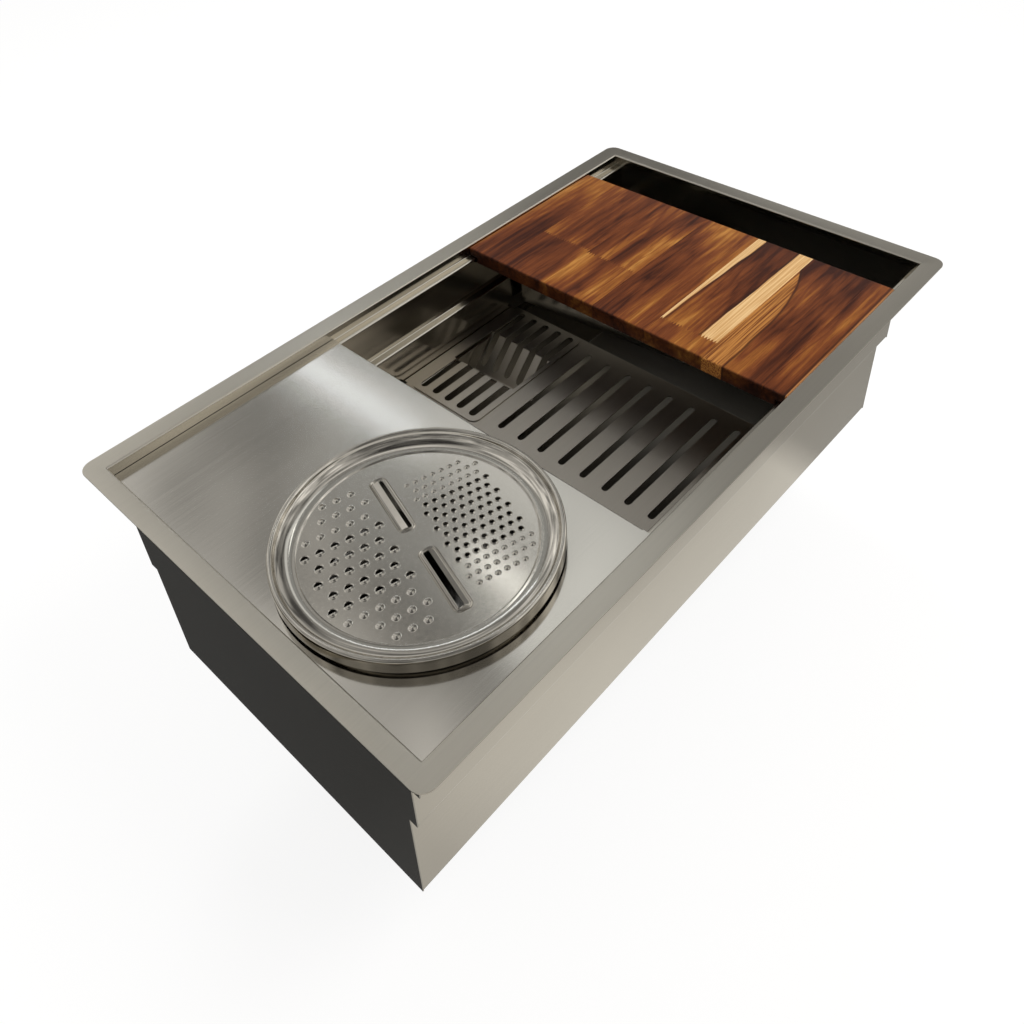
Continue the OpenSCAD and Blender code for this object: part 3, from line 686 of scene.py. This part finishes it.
def slicer(middle, half, slot_middle, slot_half, side):
    """Rings of a slicing slot: a low raised frame, then a blade that rises to the slot on one side and a
    lip that dips on the other."""
    inset = np.array([-0.5, 0, 0.5, 1.0, 1.5, 2.1, 2.6, 3.1, 3.6])
    x, y = rounded_rectangle(half[0] - inset, half[1] - inset, slicer_r - inset, 6)
    z = np.array([0, 0, 0.9, 1.25, 0.9, 0.35, 0.65, 0.45, 0.1])[:, None] + 0 * x
    frame_rings = np.stack([x + middle[0], y + middle[1], z], 2)
    x, y = rounded_rectangle([slot_half[0]], [slot_half[1]], [1.0], 6)
    tilt = np.clip(side * y / (0.9 * slot_half[1]), -1, 1)
    slot = np.stack([x + slot_middle[0], y + slot_middle[1], 0.2 + 0.75 * tilt], 2)
    return np.concatenate([frame_rings, slot])


coarse_shift, fine_shift, fine_pitch = 1.4, -18.4, (10.1, 4.38)
coarse = staggered((16, 6.95), 22, np.arange(-5, 6), 1, coarse_shift)
coarse_open = np.abs(coarse[:, 0] - coarse_shift) < 40
fine_teeth = staggered(fine_pitch, 18.5, np.arange(-5, 9), -1, fine_shift)
fine_row = np.round((fine_teeth[:, 0] - fine_shift) / fine_pitch[0])
fine_open = (fine_row >= -2) & (fine_row <= 5)
patches = []
loops = []
for centres, rings in (
        (coarse[coarse_open], rasp_tooth(4.5, 3.7, 1.1)), (coarse[~coarse_open], dimple(3.9, 1.1)),
        (fine_teeth[fine_open], crater_tooth(3.2, 2.2, 0.9)), (fine_teeth[~fine_open], dimple(2.8, 0.85))):
    for u, v in centres:
        moved = rings + (u, v, 0)
        patches.append((moved, strip(moved)))
        loops.append(moved[0])
slots = (((48.75, 2.5), (36.25, 8.5), (49, -0.5), (33, 2.4), 1),
         ((-49.7, -0.5), (37.3, 8.9), (-49, 0.8), (33, 2.6), -1))
for spec in slots:
    rings = slicer(*spec)
    patches.append((rings, strip(rings)))
    loops.append(rings[0])

spin = np.linspace(0, 2 * np.pi, 180, endpoint=False)
border = np.stack([disc_r * np.cos(spin), disc_r * np.sin(spin), 0 * spin], 1)
flat_loops = [border] + loops
flat = np.vstack(flat_loops)
start = np.cumsum([0] + [len(v) for v in flat_loops])
edges = np.vstack([np.stack([np.arange(a, b), np.roll(np.arange(a, b), -1)], 1)
                   for a, b in zip(start[:-1], start[1:])])
_, _, faces, *_ = delaunay_2d_cdt([tuple(v) for v in flat[:, :2].tolist()], edges.tolist(), [], 0, 1e-5)
verts = flat[:, :2]
faces = np.array([f for f in faces if len(f) == 3])
middle = verts[faces].mean(1)
hollow = np.zeros(len(faces), bool)
for centres, r, segments in ((coarse[coarse_open], 5.0, 20), (coarse[~coarse_open], 4.3, 16),
                             (fine_teeth[fine_open], 3.6, 16), (fine_teeth[~fine_open], 3.2, 16)):
    away = middle[:, None] - centres[None]
    angle = np.arctan2(away[..., 1], away[..., 0]) % (2 * np.pi / segments) - np.pi / segments
    across = np.hypot(away[..., 0], away[..., 1]) * np.cos(angle)
    hollow |= (across < r * np.cos(np.pi / segments) - 1e-6).any(1)
for centre, half, *_ in slots:
    q = np.abs(middle - centre) - (np.array(half) - slicer_r)
    hollow |= np.where((q > 0).all(1), np.hypot(q[:, 0], q[:, 1]), q.max(1)) < slicer_r + 0.46
faces = faces[~hollow]
patches.append((np.hstack([verts, 0 * verts[:, :1]]), faces))


def joined(parts):
    """Several pairs of points and triangles as one, equal points made one, collapsed triangles dropped."""
    count = np.cumsum([0] + [len(p.reshape(-1, p.shape[-1])) for p, _ in parts])
    points = np.vstack([p.reshape(-1, p.shape[-1]) for p, _ in parts])
    tris = np.vstack([f + n for (_, f), n in zip(parts, count)])
    _, first, index = np.unique(np.round(points[:, :3], 3), axis=0, return_index=True, return_inverse=True)
    tris = index.ravel()[tris]
    real = (tris[:, 0] != tris[:, 1]) & (tris[:, 1] != tris[:, 2]) & (tris[:, 0] != tris[:, 2])
    return points[first], tris[real]


def sheet_skin(top, under, tris):
    """Closed skin of a sheet with holes: its top, its underside turned over, a wall along each open edge."""
    n = len(top)
    e = np.vstack([tris[:, [0, 1]], tris[:, [1, 2]], tris[:, [2, 0]]])
    key = e[:, 0] * n + e[:, 1]
    open_edge = e[~np.isin(key, e[:, 1] * n + e[:, 0])]
    i, j = open_edge.T
    wall = np.vstack([np.stack([j, i, i + n], 1), np.stack([j, i + n, j + n], 1)])
    return np.vstack([top, under]), np.vstack([tris, tris[:, ::-1] + n, wall])


outside = lid_profile()
inside = offset(outside, -lid_sheet)
inside[0] = outside[0] - (0, lid_sheet)
inside[-1] = outside[-1] - (lid_sheet, 0)
both = np.concatenate([revolved(outside, 180), revolved(inside, 180)], 2)
disc_parts = []
for points, tris in patches:
    p = points.reshape(-1, 3)
    cos, sin = np.cos(pattern_turn), np.sin(pattern_turn)
    turned = np.stack([p[:, 0] * cos - p[:, 1] * sin, p[:, 0] * sin + p[:, 1] * cos, p[:, 2] + lid_face], 1)
    disc_parts.append((np.hstack([turned, turned - (0, 0, lid_sheet)]), tris))
# The border circle is turned with the pattern, so the ring's points are turned to meet it.
ring_points = both.copy()
cos, sin = np.cos(pattern_turn), np.sin(pattern_turn)
for k in (0, 3):
    x, y = both[..., k].copy(), both[..., k + 1].copy()
    ring_points[..., k], ring_points[..., k + 1] = x * cos - y * sin, x * sin + y * cos
lid_points, lid_tris = joined(disc_parts + [(ring_points, strip(both[..., :3])[:, ::-1])])
lid_points = lid_points + np.array([lid_x, lid_y, 0] * 2)
lid = piece("grater_plate", [sheet_skin(lid_points[:, :3], lid_points[:, 3:], lid_tris)], "grater_lid",
            ["grater_lid"], 40)
lid_steel = steel("lid_steel", (0.54, 0.505, 0.44), 0.07, (300, 300, 300), 0.000005,
                  ((lid_x * mm, lid_y * mm, lid_face * mm), 0.105, 0.02))
lid.data.materials.append(lid_steel)

# --------------------------------------------------
# The cutting board: seven walnut staves glued edge to edge, oiled, with eased
# edges. Each end is rebated underneath and lies on the upper ledges.
board_x = (98.0, 327.0)
board_half = 219.0
board_foot_half = 206.6
board_top, board_under, lip_under = -3.0, -22.0, -14.1
glue = board_half * np.array([-1, -0.877, -0.546, -0.215, 0.116, 0.447, 0.778, 1])


def tube(rows):
    """Closed skin round a grid of points whose columns wrap, with a flat face over each end."""
    count, cols = rows.shape[:2]
    g = np.arange(count * cols).reshape(count, cols)
    g = np.hstack([g, g[:, :1]])
    quads = np.stack([g[:-1, :-1], g[:-1, 1:], g[1:, 1:], g[1:, :-1]], 2).reshape(-1, 4).tolist()
    return rows.reshape(-1, 3), quads + [g[0, :-1][::-1].tolist(), g[-1, :-1].tolist()]


def stave_rows(y, inset, under, r=2.2):
    """Rounded rectangles in the XZ plane, one for each y, drawn in by inset."""
    x0, x1 = board_x
    y, inset, under = (np.asarray(v, float) for v in (y, inset, under))
    half_z = (board_top - under) / 2 - inset
    x, z = rounded_rectangle((x1 - x0) / 2 - inset, half_z, np.full(len(y), r), 5)
    return np.stack([x + (x0 + x1) / 2, np.broadcast_to(y[:, None], x.shape),
                     z + ((board_top + under) / 2)[:, None]], 2)


def walnut(name, shift, tone, fade, joint, step, streaks=()):
    """Oiled walnut, its grain along X. shift moves the figure, so that no two staves match, tone and fade
    make it paler all over and towards the far edge, and step is the tone of the block in front of the
    finger joint."""
    m = bpy.data.materials.new(name)
    m.use_nodes = True
    t = m.node_tree
    shader = t.nodes["Principled BSDF"]
    shader.inputs["Specular IOR Level"].default_value = 0.16
    where = t.nodes.new("ShaderNodeTexCoord")
    g = t.nodes.new("ShaderNodeGroup")
    g.node_tree = walnut_figure
    for label, value in zip(("Shift", "Tone", "Fade", "Joint", "Step"), (shift, tone, fade, joint, step)):
        g.inputs[label].default_value = value
    bump = t.nodes.new("ShaderNodeBump")
    bump.inputs["Strength"].default_value = 0.3
    bump.inputs["Distance"].default_value = 0.0002
    link(t, where.outputs["Object"], g.inputs["Place"], g.outputs["Roughness"], shader.inputs["Roughness"],
         g.outputs["Height"], bump.inputs["Height"], bump.outputs[0], shader.inputs["Normal"])
    colour = g.outputs["Color"]
    for streak in streaks:
        s = t.nodes.new("ShaderNodeGroup")
        s.node_tree = sapwood
        s.inputs["End"].default_value = joint
        for label, value in streak.items():
            s.inputs[label].default_value = value
        link(t, where.outputs["Object"], s.inputs["Place"], colour, s.inputs["Color"])
        colour = s.outputs["Color"]
    link(t, colour, shader.inputs["Base Color"])
    return m


def noise(tree, vector, scale, detail=2.0, distortion=0.0):
    """A Noise node's value at a vector."""
    n = tree.nodes.new("ShaderNodeTexNoise")
    n.inputs["Scale"].default_value = scale
    n.inputs["Detail"].default_value = detail
    n.inputs["Distortion"].default_value = distortion
    tree.links.new(vector, n.inputs["Vector"])
    return n.outputs["Fac"]


def stretched(tree, vector, scale, shift=None):
    """The vector scaled along each axis, moved by shift along Z when given."""
    n = tree.nodes.new("ShaderNodeVectorMath")
    n.operation = "MULTIPLY"
    n.inputs[1].default_value = scale
    tree.links.new(vector, n.inputs[0])
    if shift is None:
        return n.outputs[0]
    c = tree.nodes.new("ShaderNodeCombineXYZ")
    tree.links.new(shift, c.inputs[2])
    a = tree.nodes.new("ShaderNodeVectorMath")
    a.operation = "ADD"
    tree.links.new(n.outputs[0], a.inputs[0])
    tree.links.new(c.outputs[0], a.inputs[1])
    return a.outputs[0]


def beyond_joint(tree, place, joint):
    """1 beyond the finger joint at x = joint, 0 in front of it, and the split place. The joint's fingers are
    3.6 mm apart and 5 mm long."""
    split = tree.nodes.new("ShaderNodeSeparateXYZ")
    link(tree, place, split.inputs[0])
    finger = math(tree, "PINGPONG", split.outputs[1], 0.0018)
    ahead = math(tree, "SUBTRACT", split.outputs[0], joint)
    past = math(tree, "SUBTRACT", ahead, math(tree, "MULTIPLY", finger, 2.8))
    return math(tree, "MULTIPLY", past, 2500.0, True), split


# Walnut: bands of dark and golden wood, growth lines that run out in long
# arches, and fine pores, all drawn out along X.
walnut_figure, g_in, g_out = group(
    "walnut_figure",
    [("Place", "Vector", None), ("Shift", "Float", 0.0), ("Tone", "Float", 0.0), ("Fade", "Float", 0.0),
     ("Joint", "Float", 0.0), ("Step", "Float", 0.0)],
    [("Color", "Color"), ("Roughness", "Float"), ("Height", "Float")])
place_in = g_in.outputs["Place"]
wood = partial(math, walnut_figure)
far_block, split = beyond_joint(walnut_figure, place_in, g_in.outputs["Joint"])
near_block = wood("SUBTRACT", 1.0, far_block)
shift_in = wood("ADD", g_in.outputs["Shift"], wood("MULTIPLY", near_block, 4.7))
bands = noise(walnut_figure, stretched(walnut_figure, place_in, (4.5, 24, 24), shift_in), 1.0, 3.0, 0.5)
bend = noise(walnut_figure, stretched(walnut_figure, place_in, (5, 20, 20), shift_in), 1.0, 1.0)
lines = wood("SINE", wood("ADD", wood("MULTIPLY", split.outputs[1], 420.0), wood("MULTIPLY", bend, 46.0)))
streaky = noise(walnut_figure, stretched(walnut_figure, place_in, (10, 230, 230), shift_in), 1.0, 3.0, 0.4)
pores = noise(walnut_figure, stretched(walnut_figure, place_in, (60, 1100, 1100), shift_in), 1.0, 2.0)
veins = noise(walnut_figure, stretched(walnut_figure, place_in, (4, 34, 34), shift_in), 1.0, 2.0, 0.4)
from_vein = wood("ABSOLUTE", wood("SUBTRACT", veins, 0.44))
vein = wood("SUBTRACT", 1.0, wood("MULTIPLY", from_vein, 30.0, True), True)
level = wood("SUBTRACT", wood("MULTIPLY", bands, 0.95), 0.065)
level = wood("ADD", level, wood("MULTIPLY", lines, 0.015))
level = wood("ADD", level, wood("MULTIPLY", wood("SUBTRACT", streaky, 0.5), 0.38))
level = wood("SUBTRACT", level, wood("MULTIPLY", vein, 0.09))
level = wood("ADD", level, g_in.outputs["Tone"])
fade = wood("MULTIPLY", wood("SUBTRACT", split.outputs[0], 0.2), 9.0)
level = wood("ADD", level, wood("MULTIPLY", g_in.outputs["Fade"], fade))
level = wood("ADD", level, wood("MULTIPLY", g_in.outputs["Step"], near_block))
colour = ramp(walnut_figure, level, [
    (0.22, (0.045, 0.011, 0.005)), (0.36, (0.125, 0.032, 0.010)), (0.46, (0.20, 0.055, 0.015)),
    (0.56, (0.33, 0.115, 0.022)), (0.68, (0.56, 0.25, 0.055))])
# The board's end faces are darkened to 0.42 of the face's tone: partly walnut's darker end grain, partly
# painted shade on those edges.
board_mid = (board_x[0] + board_x[1]) / 2 * mm
from_mid = wood("MULTIPLY", wood("ABSOLUTE", wood("SUBTRACT", split.outputs[0], board_mid)), 8.0)
end_grain_and_shade = ramp(walnut_figure, from_mid, greys((0.905, 1.0), (0.914, 0.42)))
colour = mixed(walnut_figure, 1.0, colour, end_grain_and_shade, "MULTIPLY")
pore_tone = ramp(walnut_figure, pores, greys((0.34, 0.72), (0.50, 1.0)))
link(walnut_figure, mixed(walnut_figure, 1.0, colour, pore_tone, "MULTIPLY"), g_out.inputs["Color"],
     wood("ADD", wood("MULTIPLY", pores, -0.2), 0.52), g_out.inputs["Roughness"],
     pores, g_out.inputs["Height"])

# Sapwood or a paler flame along one edge of a stave, with a dark line where
# the heartwood starts. Its border runs from Near to Far as a power of the way.
sapwood, g_in, g_out = group(
    "sapwood",
    [("Place", "Vector", None), ("Color", "Color", (0, 0, 0, 1)), ("Near", "Float", 0.0),
     ("Far", "Float", 0.0), ("Power", "Float", 1.0), ("Side", "Float", 1.0), ("End", "Float", 0.0),
     ("Wobble", "Float", 0.004), ("Dark", "Color", (0.60, 0.33, 0.12, 1)),
     ("Pale", "Color", (0.84, 0.56, 0.27, 1))],
    [("Color", "Color")])
pale_wood = partial(math, sapwood)
shown, split = beyond_joint(sapwood, g_in.outputs["Place"], g_in.outputs["End"])
along = pale_wood("DIVIDE", pale_wood("SUBTRACT", split.outputs[0], board_x[0] * mm),
                  (board_x[1] - board_x[0]) * mm, True)
near_end, far_end = g_in.outputs["Near"], g_in.outputs["Far"]
bent_way = pale_wood("POWER", along, g_in.outputs["Power"])
border = pale_wood("ADD", near_end, pale_wood("MULTIPLY", bent_way, pale_wood("SUBTRACT", far_end, near_end)))
ripple = noise(sapwood, stretched(sapwood, g_in.outputs["Place"], (16, 9, 0)), 1.0, 2.0)
wobble = pale_wood("MULTIPLY", pale_wood("SUBTRACT", ripple, 0.5), g_in.outputs["Wobble"])
past_border = pale_wood("SUBTRACT", split.outputs[1], pale_wood("ADD", border, wobble))
inside = pale_wood("MULTIPLY", past_border, g_in.outputs["Side"])
pale = pale_wood("MULTIPLY", pale_wood("MULTIPLY", inside, 1600.0, True), shown)
from_line = pale_wood("ABSOLUTE", pale_wood("ADD", inside, 0.0014))
edge = pale_wood("SUBTRACT", 1.0, pale_wood("MULTIPLY", from_line, 520.0, True), True)
lines = noise(sapwood, stretched(sapwood, g_in.outputs["Place"], (12, 600, 600)), 1.0, 3.0)
line_share = ramp(sapwood, lines, greys((0.36, 0), (0.60, 1)))
pale_tone = mixed(sapwood, line_share, g_in.outputs["Dark"], g_in.outputs["Pale"])
dark_share = pale_wood("MULTIPLY", pale_wood("MULTIPLY", edge, 0.8), shown)
dark = mixed(sapwood, dark_share, g_in.outputs["Color"], (0.030, 0.011, 0.006))
link(sapwood, mixed(sapwood, pale, dark, pale_tone), g_out.inputs["Color"])

# For each stave its shift, tone, fade, finger joint, step and pale streaks.
stave_looks = (
    (0.3, 0.00, 0.0, 0.0, 0.0, (dict(Near=-0.2165, Far=-0.2165, Side=-1.0, Wobble=0.001,
                                     Dark=(0.24, 0.09, 0.03, 1), Pale=(0.45, 0.20, 0.07, 1)),)),
    (3.1, -0.05, -0.03, 0.0, 0.0, (dict(Near=-0.1445, Far=-0.100, Power=4.0, Side=1.0, Wobble=0.004,
                                        Dark=(0.16, 0.045, 0.012, 1), Pale=(0.52, 0.22, 0.052, 1)),)),
    (7.4, -0.01, -0.02, 0.125, 0.10, (dict(Near=-0.0980, Far=-0.1020, Side=-1.0, Wobble=0.004),
                                      dict(Near=-0.0485, Far=-0.0580, Power=0.9, Side=1.0, Wobble=0.004))),
    (11.9, 0.03, 0.06, 0.0, 0.0, ()),
    (15.2, 0.03, 0.01, 0.176, 0.05, ()),
    (21.7, 0.05, 0.06, 0.180, 0.08, ()),
    (26.4, 0.06, 0.04, 0.0, 0.0, ()))
for i, look in enumerate(stave_looks):
    y0, y1 = glue[i], glue[i + 1]
    y, inset, under = [y0, y0 + 0.3, y1 - 0.3, y1], [0.2, 0, 0, 0.2], [board_under] * 4
    if i == 0:
        y = [-board_half, 0.4 - board_half, 1.6 - board_half, -board_foot_half, -board_foot_half,
             y1 - 0.3, y1]
        inset = [1.6, 0.5, 0, 0, 0, 0, 0.2]
        under = [lip_under] * 4 + [board_under] * 3
    if i == 6:
        y = [y0, y0 + 0.3, board_foot_half, board_foot_half, board_half - 1.6, board_half - 0.4, board_half]
        inset = [0.2, 0, 0, 0, 0, 0.5, 1.6]
        under = [board_under] * 3 + [lip_under] * 4
    n = i + 1
    stave = piece("stave_%d" % n, [tube(stave_rows(y, inset, under))], "board", ["board_stave_%d" % n],
                  30)
    stave.data.materials.append(walnut("walnut_%d" % n, *look))

# --------------------------------------------------
# The drain platform: one folded plate of 1.5 mm stainless steel, brushed along
# the sink, with a round opening. Its long edges slide on the upper ledges.
dress("platform", steel("platform_steel", (0.53, 0.50, 0.44), 0.07))

# --------------------------------------------------
# The basin and the colander: two spun pans of 0.8 mm stainless steel, polished,
# each hung by its rim. The basin hangs in the platform, the colander in it.
pan_steel = steel("pan_steel", (0.60, 0.58, 0.54), 0.12, (40, 40, 500), 0.00001)
for n in ("basin", "colander"):
    dress(n, pan_steel)

# --------------------------------------------------
# The rack and its cutlery insert: satin stainless steel plate with slots cut
# through, edges turned down. The rack slides on the lowest ledges and the
# insert drops into its opening.
rack_steel = steel("rack_steel", (0.44, 0.40, 0.34), 0.32)
for n in ("rack", "rack_insert"):
    dress(n, rack_steel)

# --------------------------------------------------
# The strainer tray: a folded tray of brushed stainless steel that hangs on the
# middle ledges under the board.
dress("strainer_tray", steel("tray_steel", (0.56, 0.54, 0.49), 0.18))

# --------------------------------------------------
# The waste: a pressed stainless steel cup with its flange in the floor's seat,
# and the chromed tailpiece below it. The basket lifts out of the cup by a
# turned post with a knob.
waste_steel = steel("waste_steel", (0.58, 0.57, 0.54), 0.10, (60, 60, 700), 0.00001)
for n in ("waste_body", "tailpiece", "basket_cup", "basket_post"):
    dress(n, waste_steel)

# --------------------------------------------------
# The two nuts: die-cast metal with a dull plating. The lugged one clamps the
# waste to the floor, the gripped one holds the tailpiece.
nut_metal = steel("nut_metal", (0.42, 0.41, 0.38), 0.34, (260, 260, 260), 0.00006)
for n in ("lock_nut", "slip_nut"):
    dress(n, nut_metal)

# --------------------------------------------------
# The soft parts. Black moulded rubber: two pads glued under the floor, the
# gasket between floor and nut, and the basket's seal. The ring under the
# gasket is pressed fibre, the flat washer on the tailpiece white plastic.
speckled, g_in, g_out = group(
    "speckled",
    [("Place", "Vector", None), ("Scale", "Float", 300.0), ("Dark", "Color", (0, 0, 0, 1)),
     ("Pale", "Color", (1, 1, 1, 1)), ("Shine", "Float", 0.6)],
    [("Color", "Color"), ("Roughness", "Float"), ("Height", "Float")])
grain = speckled.nodes.new("ShaderNodeTexNoise")
grain.inputs["Detail"].default_value = 4.0
link(speckled, g_in.outputs["Place"], grain.inputs["Vector"], g_in.outputs["Scale"], grain.inputs["Scale"])
share = ramp(speckled, grain.outputs["Fac"], greys((0.35, 0), (0.65, 1)))
rough = math(speckled, "ADD", g_in.outputs["Shine"], math(speckled, "MULTIPLY", grain.outputs["Fac"], 0.15))
link(speckled, mixed(speckled, share, g_in.outputs["Dark"], g_in.outputs["Pale"]), g_out.inputs["Color"],
     rough, g_out.inputs["Roughness"], grain.outputs["Fac"], g_out.inputs["Height"])


def soft_part(name, nodes, dark, pale, scale, shine):
    """A moulded or pressed material with a fine speckle, given to these CAD nodes."""
    m = bpy.data.materials.new(name)
    m.use_nodes = True
    t = m.node_tree
    shader = t.nodes["Principled BSDF"]
    where = t.nodes.new("ShaderNodeTexCoord")
    g = t.nodes.new("ShaderNodeGroup")
    g.node_tree = speckled
    g.inputs["Scale"].default_value = scale
    g.inputs["Dark"].default_value = (*dark, 1)
    g.inputs["Pale"].default_value = (*pale, 1)
    g.inputs["Shine"].default_value = shine
    bump = t.nodes.new("ShaderNodeBump")
    bump.inputs["Strength"].default_value = 0.25
    bump.inputs["Distance"].default_value = 0.0001
    link(t, where.outputs["Object"], g.inputs["Place"], g.outputs["Color"], shader.inputs["Base Color"],
         g.outputs["Roughness"], shader.inputs["Roughness"], g.outputs["Height"], bump.inputs["Height"],
         bump.outputs[0], shader.inputs["Normal"])
    for n in nodes:
        dress(n, m)


soft_part("pad_rubber", ("sound_pads",), (0.018, 0.018, 0.018), (0.035, 0.035, 0.034), 260, 0.62)
soft_part("seal_rubber", ("waste_gasket", "basket_seal"), (0.012,) * 3, (0.028,) * 3, 700, 0.45)
soft_part("fibre", ("fibre_washer",), (0.20, 0.075, 0.035), (0.36, 0.16, 0.075), 900, 0.70)
soft_part("washer_plastic", ("tail_washer",), (0.66, 0.66, 0.64), (0.76, 0.76, 0.74), 400, 0.35)
